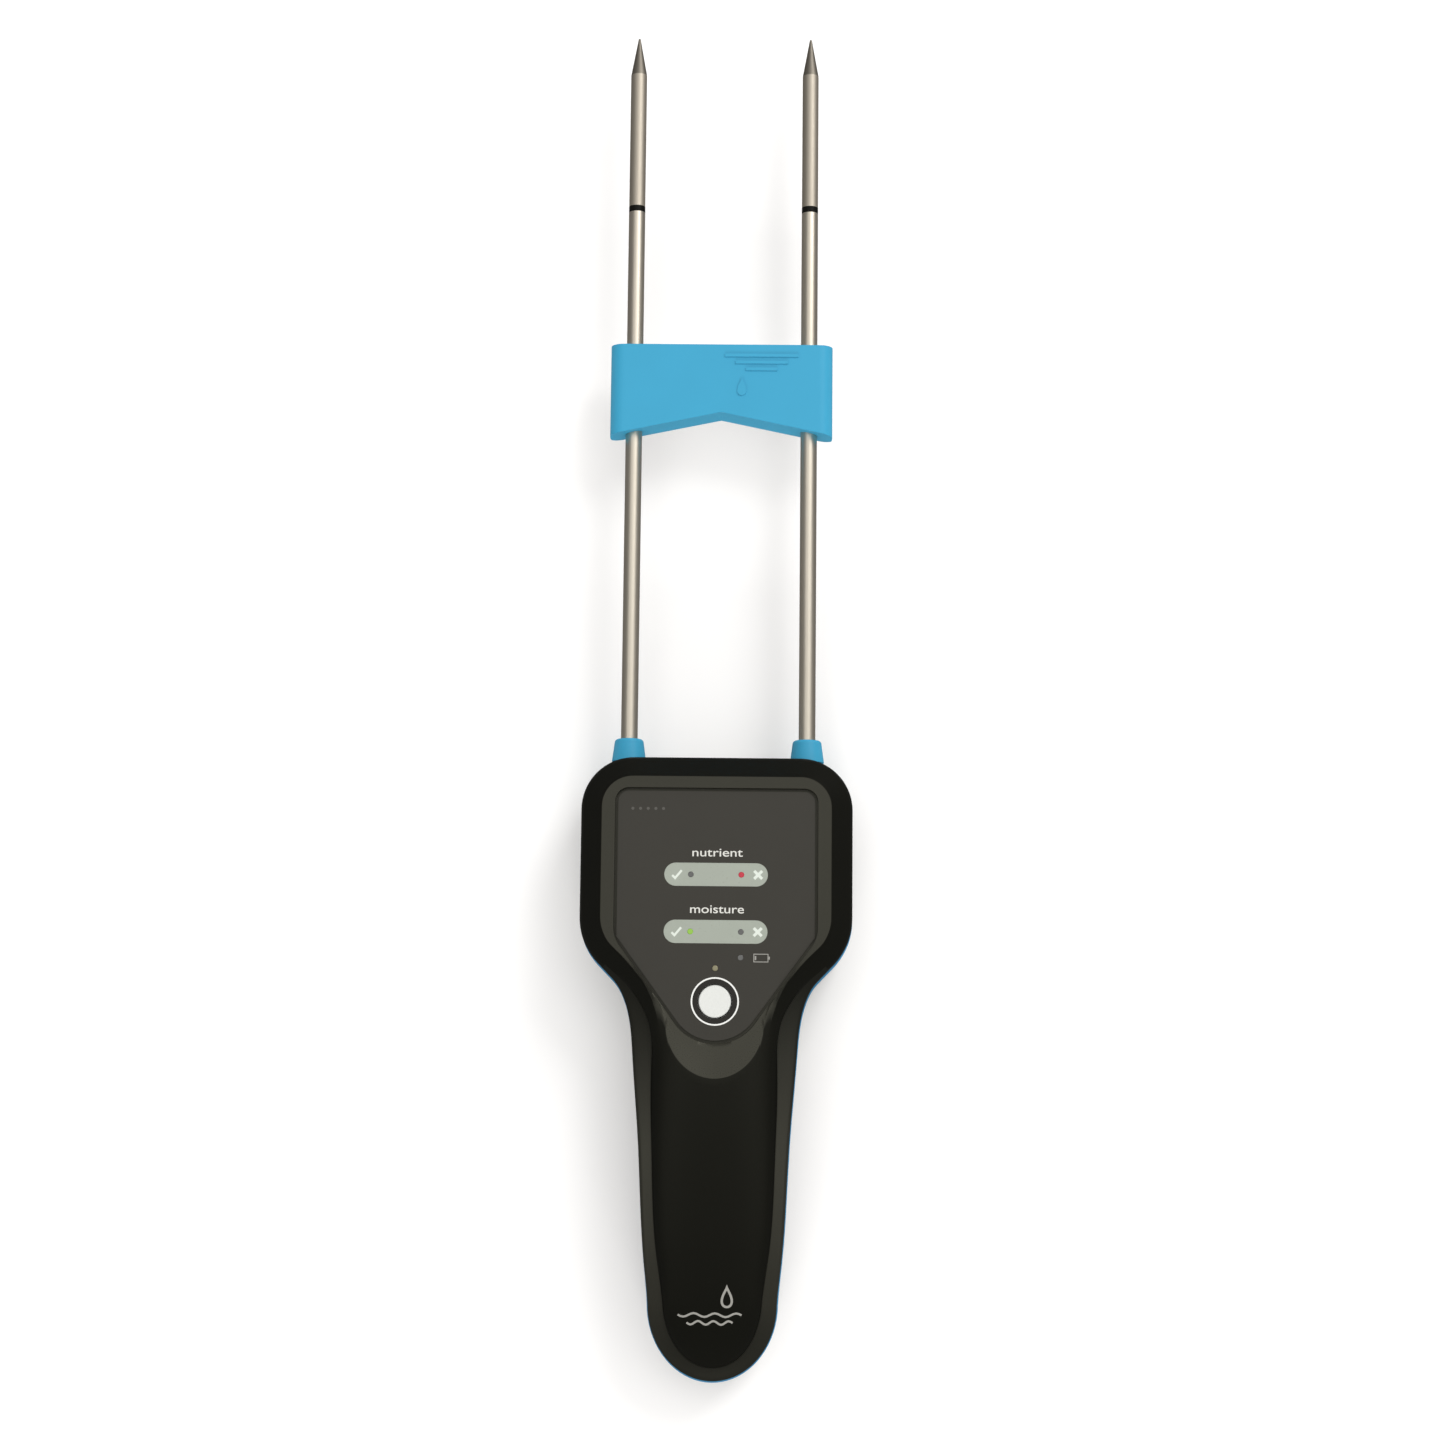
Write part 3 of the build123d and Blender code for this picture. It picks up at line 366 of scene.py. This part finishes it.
def along(knots, depth):
    """Smooth height or width by depth, through the knots."""
    d, v = np.array(knots, float).T
    slope = np.gradient(v, d)
    slope[[0, -1]] = 0
    x = np.clip(depth, d[0], d[-1])
    k = np.clip(np.searchsorted(d, x, side="right") - 1, 0, len(d) - 2)
    h = d[k + 1] - d[k]
    return hermite((x - d[k]) / h, h, v[k], v[k + 1], slope[k], slope[k + 1])


def ease(low, high, x):
    """Smooth step from 0 at low to 1 at high."""
    t = np.clip((x - low) / (high - low), 0, 1)
    return t * t * (3 - 2 * t)


# ---------------------------------------------------------------- front housing
# By depth: the side band's width, and the crease's half width; then the heights of the crease, of the wall
# below the band, and of the crown along the middle.
BAND = [(55, 1.2), (62, 1.7), (68, 3.6), (74, 5.2), (80, 5.5), (86, 5.0), (94, 4.3), (112, 3.6), (129, 3.5),
        (147, 4.1), (156, 4.4), (163, 4.2), (170, 3.7)]
CREASE_HALF = [(60, 27.0), (66, 23.0), (72, 19.4), (78, 17.6), (84, 17.2), (94, 17.1), (112, 16.7), (129, 15.75),
               (146, 13.8)]
CREASE_Z = [(56, 27.29), (66, 27.5), (76, 28.0), (89, 28.3), (105, 28.1), (120, 27.3), (145, 24.0), (158, 20.8),
            (166, 18.0), (170, 16.9)]
WALL_Z = [(56, 26.1), (66, 25.6), (76, 26.2), (89, 27.2), (105, 27.2), (120, 26.4), (145, 23.0), (158, 19.5),
          (165, 17.4), (170, 16.2)]
CROWN_Z = [(58, 32.0), (70, 32.9), (80, 33.6), (92, 33.5), (108, 32.6), (121, 31.4), (135, 29.5), (145, 27.6),
           (154, 25.2), (161, 22.6), (166, 20.0), (170, 18.0)]
CREASE_END = (146.0, 20.1)  # depth where the crease's round end starts, and its length
CROWN_FALL, CROWN_ROUND = 2.6, 1 / 1.9  # how late the crown falls away, and how round it meets the crease

WALL_ROUND = 0.9  # radius of the wall's rounded top edge
BEVEL, BEVEL_GAIN = 5.95, 2.6  # width of the slope inside the silhouette on the head, and what the handle adds
RIM_GROW, EDGE_GROW = 1.1, 0.85  # top and bottom edges of the pocket's wall, outside the pocket's outline
BEVEL_STEP = 0.07  # small step where the bevel meets the face
LIP, TOE = 0.25, 0.10  # the scoop's edge stands over the overlay, and the wall's foot is rounded
LEDGE_WIDTH, LEDGE_THICK, WALL_THICK, ROOF_THICK = 4.0, 2.2, 2.4, 2.6
SATIN = 0.22  # the satin shell's share of the soft-touch skin's colour
FADE, FADE_GAIN = 0.05, 2.6  # width over which the scoop's edge takes the skin's colour, wider towards its top


def handle_z(points):
    """Height of the grip's crowned panel at plan points."""
    x, depth = np.abs(points[:, 0]), points[:, 1]
    wide = x / along(CREASE_HALF, np.minimum(depth, CREASE_END[0]))
    deep = np.maximum(depth - CREASE_END[0], 0) / CREASE_END[1]
    off = np.clip(np.hypot(wide, deep), 0, 1)
    low, high = along(CREASE_Z, depth), along(CROWN_Z, depth)
    return low + (high - low) * (1 - off ** CROWN_FALL) ** CROWN_ROUND


def front_shell():
    """Closed grid of matching outlines: up the wall, over the face, into the pocket and back underneath.
    Gives the rows of points in metres, each point's grip, and where each row's cells are soft-touch."""
    outer = silhouette()
    depths = outer[:, 1]
    band = along(BAND, depths)
    crease = inset(outer, band)
    flank = inset(outer, np.where(depths < 50, BEVEL, BEVEL + BEVEL_GAIN * ease(54, 84, depths)))
    rim = scoop_edge(RIM_GROW)
    edge = pocket(EDGE_GROW)
    wall_z, crease_z = along(WALL_Z, depths), along(CREASE_Z, depths)
    rows, grips, soft = [], [], []

    def row(points, z, grip=SATIN, skin=False):
        soft.append(np.broadcast_to(skin, len(points)))
        rows.append(np.column_stack([points[:, 0], HEAD_TOP - points[:, 1], np.broadcast_to(z, len(points))]))
        grips.append(np.broadcast_to(grip, len(points)))

    def blend(points, head_z):
        """From the head's height to the handle's over the neck."""
        weight = ease(55, 78, points[:, 1])
        return head_z * (1 - weight) + handle_z(points) * weight

    # The wall, soft-touch around the head, and the side band, palest along the middle of the handle; its
    # darkening towards the handle's end is painted shade.
    dim = SATIN + (1 - SATIN) * ease(112, 70, depths) + 0.45 * ease(140, 166, depths)
    in_head = depths < 58
    row(outer, AXIS_Z, dim, in_head)
    row(outer, (AXIS_Z + wall_z - WALL_ROUND) / 2, dim, in_head)
    for a in (0.0, 0.07, 0.26, 0.55, 0.9):
        z = wall_z + (crease_z - wall_z) * a / band
        row(inset(outer, a), z - WALL_ROUND * (1 - np.sqrt(1 - (1 - a / WALL_ROUND) ** 2)), dim, in_head)
    for share in (0.25, 0.5, 0.75, 0.93):
        a = WALL_ROUND + (band - WALL_ROUND) * share
        row(inset(outer, a), wall_z + (crease_z - wall_z) * a / band, dim, in_head)

    # The bevel around the head, which runs out into the handle's panel.
    row(crease, crease_z, 1.0, True)
    for share in (0.06, 0.2, 0.4, 0.6, 0.8, 0.94, 1.0):
        points = crease * (1 - share) + flank * share
        head_z = crease_z + (FACE_Z - crease_z) * share - (BEVEL_STEP if share == 1 else 0.0)
        row(points, blend(points, head_z), 1.0, True)
    soft[-1] = flank[:, 1] > 57  # the bevel ends here, so the next cells are skin on the handle only

    # The face's rim, and the panel up to the edge of the thumb scoop.
    for share in np.concatenate([[0.03], np.linspace(0.08, 0.97, 26), [1.0]]):
        points = flank * (1 - share) + rim * share
        away = np.linalg.norm(points - rim, axis=1)
        fade = FADE + FADE_GAIN * ease(88, 66, rim[:, 1])
        grip = SATIN + (1 - SATIN) * ease(52, 66, points[:, 1]) * ease(0.05, 1.0, away / fade)
        row(points, blend(points, FACE_Z), grip, (points[:, 1] > 66) & (away > fade))
    soft[-1] = np.zeros(len(rim), bool)

    # The pocket's wall over the head, and the scoop's floor under the button, which ends over the overlay. The
    # scoop's floor drops the satin share of the skin's colour, so it comes out paler than the rest of the shell:
    # painted light.
    rim_z = rows[-1][:, 2]
    on_ring = ease(66.5, 64, edge[:, 1])
    edge_z = FACE_Z * on_ring + (OVERLAY_Z + LIP) * (1 - on_ring)
    for t in (0.04, 0.12, 0.25, 0.4, 0.55, 0.7, 0.85, 0.985):
        points = rim * (1 - t) + edge * t
        row(points, edge_z + (rim_z - edge_z) * (1 - t) ** 1.2, SATIN * on_ring)
    row(edge, edge_z - TOE)

    # The ledge under the overlay, and the inside of the shell.
    ledge, ledge_low = inset(edge, LEDGE_WIDTH), LEDGE_Z - LEDGE_THICK
    row(inset(edge, 0.03), LEDGE_Z)
    row(ledge, LEDGE_Z)
    row(ledge, ledge_low)
    inner = inset(outer, WALL_THICK)
    inner_z = AXIS_Z + np.maximum(wall_z - AXIS_Z - ROOF_THICK, 0.3)
    for t in (0.2, 0.4, 0.6, 0.8, 1.0):
        row(ledge * (1 - t) + inner * t, ledge_low * (1 - t) + inner_z * t)
    row(inner, AXIS_Z)
    return np.array(rows) * MM, np.array(grips), soft


MERGE, SLIVER, SHARP = 2e-6, 1e-6, radians(32)


def grid_mesh(name, rows, grips, soft):
    """Mesh from the right halves of closed rows: mirrors them, joins the last row to the first.
    Soft cells take the second material."""
    left = rows[:, -2:0:-1] * (-1, 1, 1)
    full = np.concatenate([rows, left], 1)
    grip = np.concatenate([grips, grips[:, -2:0:-1]], 1)
    soft = np.array(soft)
    soft = np.concatenate([soft[:, :-1], soft[:, -2::-1]], 1)
    many, around = full.shape[:2]
    faces = []
    for r in range(many):
        up = (r + 1) % many
        for i in range(around):
            j = (i + 1) % around
            faces.append((r * around + i, up * around + i, up * around + j, r * around + j))
    mesh = bpy.data.meshes.new(name)
    mesh.from_pydata(full.reshape(-1, 3).tolist(), [], faces)
    mesh.polygons.foreach_set("material_index", soft.reshape(-1).astype(np.int32))
    attribute = mesh.attributes.new("grip", "FLOAT", "POINT")
    attribute.data.foreach_set("value", grip.reshape(-1).astype(np.float32))
    shape = bmesh.new()
    shape.from_mesh(mesh)
    bmesh.ops.remove_doubles(shape, verts=shape.verts, dist=MERGE)
    bmesh.ops.dissolve_degenerate(shape, edges=shape.edges, dist=SLIVER)
    bmesh.ops.recalc_face_normals(shape, faces=shape.faces)
    for face in shape.faces:
        face.smooth = True
    for e in shape.edges:
        e.smooth = len(e.link_faces) != 2 or e.calc_face_angle() < SHARP
    shape.to_mesh(mesh)
    shape.free()
    return mesh


def piece(name, mesh, mats, body="instrument"):
    """Object of the scene with its materials and its body."""
    obj = bpy.data.objects.new(name, mesh)
    bpy.context.scene.collection.objects.link(obj)
    for mat in mats:
        mesh.materials.append(M[mat])
    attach(obj, body)
    return obj


shell_mesh = grid_mesh("front_shell", *front_shell())
front = piece("front_shell", shell_mesh, ["housing_black", "soft_touch"])
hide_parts("front_housing")


# ---------------------------------------------------------------- printed and moulded marks
def spot(x, depth, z):
    return Vector((x, HEAD_TOP - depth, z)) * MM


def plate(name, outlines, z, thick, mat, body="instrument", lift=None):
    """Thin print made of closed outlines in (x, depth), each solid, with its top at z or on a lifted surface."""
    shape = bmesh.new()
    for outline in outlines:
        outline = [tuple(p) for p in outline]
        top = lift(np.array(outline)) if lift else np.full(len(outline), z)
        low = [shape.verts.new(spot(x, d, h - thick)) for (x, d), h in zip(outline, top)]
        high = [shape.verts.new(spot(x, d, h)) for (x, d), h in zip(outline, top)]
        shape.faces.new(high)
        shape.faces.new(low[::-1])
        for i in range(len(low)):
            j = (i + 1) % len(low)
            shape.faces.new((low[i], low[j], high[j], high[i]))
    bmesh.ops.recalc_face_normals(shape, faces=shape.faces)
    bmesh.ops.triangulate(shape, faces=shape.faces)
    mesh = bpy.data.meshes.new(name)
    shape.to_mesh(mesh)
    shape.free()
    return piece(name, mesh, [mat], body)


def ribbon(points, width, closed=False):
    """Mitred pen line through the points, as quadrilaterals that share their ends."""
    p = np.array(points, float)
    before = np.roll(p, 1, 0) if closed else np.concatenate([[2 * p[0] - p[1]], p[:-1]])
    after = np.roll(p, -1, 0) if closed else np.concatenate([p[1:], [2 * p[-1] - p[-2]]])
    a, b = p - before, after - p
    a /= np.linalg.norm(a, axis=1)[:, None]
    b /= np.linalg.norm(b, axis=1)[:, None]
    normal = np.stack([-(a + b)[:, 1], (a + b)[:, 0]], 1)
    normal /= np.linalg.norm(normal, axis=1)[:, None]
    reach = width / 2 / (normal * np.stack([-a[:, 1], a[:, 0]], 1)).sum(1)
    left, right = p + normal * reach[:, None], p - normal * reach[:, None]
    nexts = [(i, (i + 1) % len(p)) for i in range(len(p) if closed else len(p) - 1)]
    return [[left[i], left[j], right[j], right[i]] for i, j in nexts]


def cross(x, depth, reach, width):
    """Outline of a diagonal cross."""
    points, half = [], width / 2
    for k in range(4):
        way = np.array([cos(pi / 4 + k * pi / 2), sin(pi / 4 + k * pi / 2)])
        off = np.array([-way[1], way[0]])
        points += [way * reach - off * half, way * reach + off * half, (way + off) * half]
    return [(x + u, depth + v) for u, v in points]


def circle(x, depth, radius, count=48):
    turns = [2 * pi * i / count for i in range(count)]
    return [(x + radius * cos(a), depth + radius * sin(a)) for a in turns]


def droplet(x, depth, size, count=28):
    """Outline of a water drop with its point up, size high."""
    turns = [2 * pi * i / count for i in range(count)]
    return [(x + 0.36 * size * sin(a) * sin(a / 2) ** 1.3, depth - 0.5 * size * cos(a)) for a in turns]


LETTER_SIZE, LETTER_WEIGHT, LETTER_RISE = 3.3, 0.015, 0.01


def legend(name, word, x, depth, width, z):
    """Generic word in the built-in typeface, printed on the overlay."""
    curve = bpy.data.curves.new(name, "FONT")
    curve.body = word
    curve.size = LETTER_SIZE * MM
    curve.offset = LETTER_WEIGHT * MM
    curve.extrude = LETTER_RISE * MM
    curve.align_x, curve.align_y = "CENTER", "CENTER"
    maker = bpy.data.objects.new(name + "_maker", curve)
    mesh = bpy.data.meshes.new_from_object(maker)
    bpy.data.objects.remove(maker)
    co = np.array([v.co for v in mesh.vertices])
    scale = width * MM / np.ptp(co[:, 0])
    middle = Vector((co.max(0) + co.min(0)) / 2)
    stretch = Matrix.Diagonal((scale, 1.0, 1.0, 1.0))
    mesh.transform(Matrix.Translation(spot(x, depth, z)) @ stretch @ Matrix.Translation(-middle))
    mesh.name = name
    return piece(name, mesh, ["print_legend"])


PRINT_Z, PRINT_THICK = OVERLAY_Z + 0.02, 0.02
WINDOW_DEPTHS = (("nutrient", 32.9), ("moisture", 48.5))
TICK, TICK_PEN = [(-12.0, 0.25), (-11.2, 1.05), (-9.4, -1.1)], 0.62
CROSS_X, CROSS_REACH, CROSS_PEN = 11.5, 1.55, 0.8
BUTTON = (0.0, 67.4)

for key, depth in WINDOW_DEPTHS:
    tick = ribbon([(x, depth + below) for x, below in TICK], TICK_PEN)
    fail = [cross(CROSS_X, depth, CROSS_REACH, CROSS_PEN)]
    plate(f"{key}_pass_mark", tick, PRINT_Z, PRINT_THICK, "print_pale")
    plate(f"{key}_fail_mark", fail, PRINT_Z, PRINT_THICK, "print_pale")
legend("nutrient_legend", "nutrient", 0.35, 26.9, 13.8, PRINT_Z)
legend("moisture_legend", "moisture", 0.35, 42.4, 14.7, PRINT_Z)

# The white ring around the button, and inside it a dark ring of painted shade for the gap between cap and
# overlay, a little lower.
ring, shade = ribbon(circle(*BUTTON, 6.35), 0.42, True), ribbon(circle(*BUTTON, 5.45), 1.3, True)
plate("button_ring", ring, PRINT_Z, PRINT_THICK, "print_white")
plate("button_shade", shade, PRINT_Z - 0.008, 0.012, "painted_gap_shade")

# A battery's outline, its pole, and the one bar left in it.
low_cell = ribbon([(10.5, 54.5), (14.35, 54.5), (14.35, 56.6), (10.5, 56.6)], 0.22, True)
low_cell += ribbon([(14.5, 55.55), (14.85, 55.55)], 0.8) + ribbon([(10.95, 55.0), (10.95, 56.1)], 0.4)
plate("battery_mark", low_cell, PRINT_Z, PRINT_THICK, "print_grey")

dots = [circle(-23.0 + 2.1 * i, 14.9, 0.42, 16) for i in range(5)]
plate("corner_dots", dots, PRINT_Z, PRINT_THICK, "print_dim")


def panel_z(points):
    """Just above the grip's panel."""
    return handle_z(points) + 0.02


# A drop over two waves near the handle's end.
WAVE_STEPS, WAVE_PERIOD, WAVE_HEIGHT, WAVE_GAP = 24, 8, 0.5, 2.1
grip_mark = ribbon(droplet(4.0, 146.4, 5.2), 0.62, True)
for k, reach in enumerate((8.6, 6.2)):
    xs = [-0.6 + reach * (2 * t / WAVE_STEPS - 1) for t in range(WAVE_STEPS + 1)]
    depths = [151.2 + WAVE_GAP * k + WAVE_HEIGHT * sin(2 * pi * t / WAVE_PERIOD) for t in range(WAVE_STEPS + 1)]
    grip_mark += ribbon(list(zip(xs, depths)), 0.55)
plate("grip_mark", grip_mark, 0, 0.05, "print_grey", lift=panel_z)

# A drop and three bars, moulded on the guide.
guide_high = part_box("probe_guide")[1]
guide_top, guide_edge = guide_high.z / MM, HEAD_TOP - guide_high.y / MM
MARK_X, MARK_RISE, MARK_THICK = 11.4, 0.35, 0.45
raised = [droplet(5.8, guide_edge + 12.4, 5.0)]
for k, reach in enumerate((10.5, 7.5, 4.5)):
    bar = guide_edge + 3.2 + 2.0 * k
    raised += ribbon([(MARK_X - reach, bar), (MARK_X + reach, bar)], 0.85)
plate("guide_mark", raised, guide_top + MARK_RISE, MARK_THICK, "trim_blue", "guide")

# ---------------------------------------------------------------- stage and lights
FLOOR_HALF, FLOOR_Z = 1.3, -0.0003


def floor():
    """Pale paper, with a faint glow that lifts its shadows."""
    mesh = bpy.data.meshes.new("floor")
    corners = [(-1, -1), (1, -1), (1, 1), (-1, 1)]
    mesh.from_pydata([(x * FLOOR_HALF, y * FLOOR_HALF, FLOOR_Z) for x, y in corners], [], [(0, 1, 2, 3)])
    ground = bpy.data.objects.new("floor", mesh)
    bpy.context.scene.collection.objects.link(ground)
    mesh.materials.append(material("paper", (0.92, 0.91, 0.90), 0.9, specular=0.0, grain_bump=0.0, blotch=0.0,
                                   glow=(1, 0.98, 0.95), glow_strength=0.09))
    ground.visible_glossy = False


def softbox(name, place, aim, size, power):
    data = bpy.data.lights.new(name, "AREA")
    data.shape = "RECTANGLE"
    data.size, data.size_y = size
    data.energy = power
    lamp = bpy.data.objects.new(name, data)
    lamp.location = place
    lamp.rotation_euler = (Vector(aim) - Vector(place)).to_track_quat("-Z", "Y").to_euler()
    bpy.context.scene.collection.objects.link(lamp)
    return lamp


def world(ambient, reflected, backdrop):
    """Grey surroundings: one level for diffuse light, one for reflections and one seen behind the object."""
    space = bpy.data.worlds.new("studio")
    bpy.context.scene.world = space
    space.use_nodes = True
    tree = space.node_tree
    around, mirrored, behind = ((level, level, level, 1) for level in (ambient, reflected, backdrop))
    ray = add(tree, "ShaderNodeLightPath")
    glossy = add(tree, "ShaderNodeMix", {"Factor": ray.outputs["Is Glossy Ray"], "A": around, "B": mirrored},
                 data_type="RGBA")
    seen = add(tree, "ShaderNodeMix", {"Factor": ray.outputs["Is Camera Ray"], "A": glossy.outputs["Result"],
                                       "B": behind}, data_type="RGBA")
    connect(tree, tree.nodes["Background"], {"Color": seen.outputs["Result"]})


floor()
world(0.62, 0.20, 1.0)
softbox("key", (0.75, 0.95, 1.0), (0, 0, 0), (0.7, 0.7), 10.5)
softbox("overhead", (0.0, 0.55, 1.7), (0, 0.55, 0), (2.2, 1.4), 9.0)
for side in (-1, 1):
    gloss = softbox("side_gloss", (0.95 * side, -0.35, 1.5), (0, -0.1, 0), (0.55, 1.2), 2.2)
    gloss.visible_diffuse = False  # for highlights only
fill = softbox("low_fill", (0.0, -1.8, 0.75), (0, 0, 0.02), (1.6, 0.5), 18.0)
fill.visible_glossy = False
for name in ("back_housing", "probe_guide"):
    nodes[name].visible_diffuse = False  # no blue cast on the paper
bpy.context.scene.view_settings.view_transform = "Standard"
